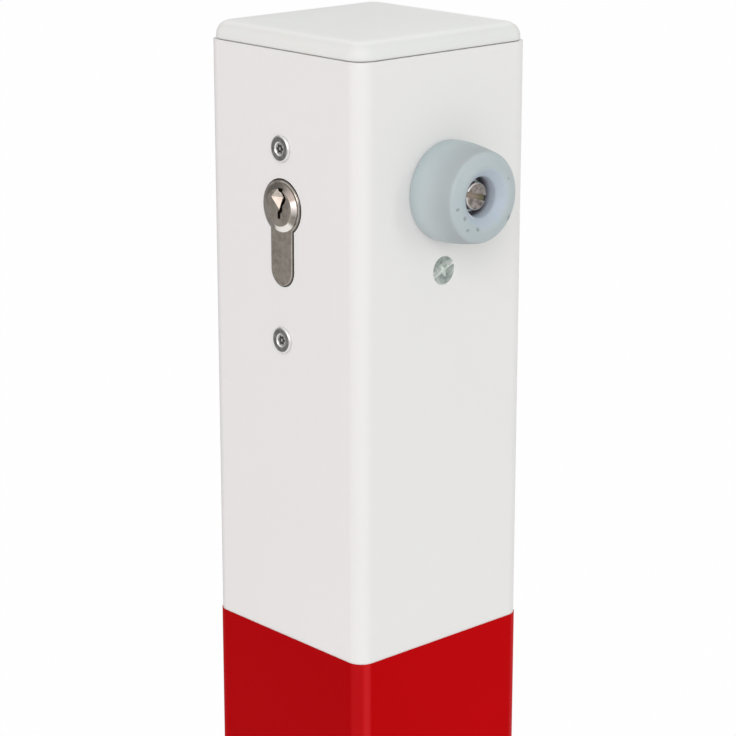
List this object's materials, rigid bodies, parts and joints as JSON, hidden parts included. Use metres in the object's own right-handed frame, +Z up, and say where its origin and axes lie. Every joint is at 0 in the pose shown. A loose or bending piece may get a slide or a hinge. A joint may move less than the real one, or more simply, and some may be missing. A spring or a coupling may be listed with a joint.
{
  "type": "fold-down bollard",
  "caption": "Square steel parking post with red bands that folds about a bolt in a bolted-down base; a profile-cylinder lock drives a bolt into the base plate.",
  "frame": {"origin": "centre of the base plate's underside, on the ground", "axes": "+Z up along the post, -Y out of the lock face, +X out of the buffer face, towards which it folds"},
  "size_m": [0.2, 0.14, 0.9],
  "materials": {
    "galvanised_steel": "hot-dip galvanised, dull",
    "zinc_plate": "bright zinc plated",
    "nylon": "natural nylon",
    "white_paint": "white powder coat, semi-gloss",
    "mild_steel": "plain, oiled",
    "cap_plastic": "white moulded plastic",
    "red_film": "red reflective film",
    "buffer_rubber": "grey moulded rubber",
    "stainless": "plain stainless steel",
    "nickel": "nickel-plated brass, satin"
  },
  "bodies": {
    "base": {"base_plate": "galvanised_steel", "hinge_cheek_left": "galvanised_steel", "hinge_cheek_right": "galvanised_steel", "weld_seams": "galvanised_steel", "pivot_bolt": "zinc_plate", "pivot_nut": "zinc_plate", "pivot_washers": "zinc_plate", "thrust_washers": "nylon"},
    "lock_plug": {"cylinder_plug": "nickel", "cylinder_cam": "mild_steel", "cylinder_clip": "mild_steel"},
    "lock_rod": {"bolt_slide": "mild_steel", "guide_pins": "mild_steel", "connecting_rod": "mild_steel", "rod_pin": "mild_steel", "locking_bolt": "zinc_plate"},
    "post": {"post_tube": "white_paint", "pivot_sleeve": "mild_steel", "bolt_guides": "mild_steel", "top_cap": "cap_plastic", "red_band_upper": "red_film", "red_band_lower": "red_film", "rubber_buffer": "buffer_rubber", "buffer_washer": "zinc_plate", "buffer_screw": "zinc_plate", "buffer_nut": "zinc_plate", "security_screws": "stainless", "bracket_nuts": "mild_steel", "lock_bracket": "mild_steel", "cylinder_body": "nickel", "cylinder_screw": "zinc_plate"}
  },
  "joints": [
    {"name": "post_fold", "type": "hinge", "parent": "base", "child": "post", "pos_m": [0.014, 0, 0.04], "axis": [0, 1, 0], "range_deg": [0, 90]},
    {"name": "bolt_throw", "type": "slide", "parent": "post", "child": "lock_rod", "axis": [0, 0, -1], "range_m": [0, 0.0212]},
    {"name": "key_turn", "type": "hinge", "parent": "post", "child": "lock_plug", "pos_m": [0, -0.0005, 0.8461], "axis": [0, -1, 0], "range_deg": [0, 90]}
  ],
  "couplings": [
    {"joint": "key_turn", "follows": "bolt_throw", "rad_per_m": 74.09}
  ]
}
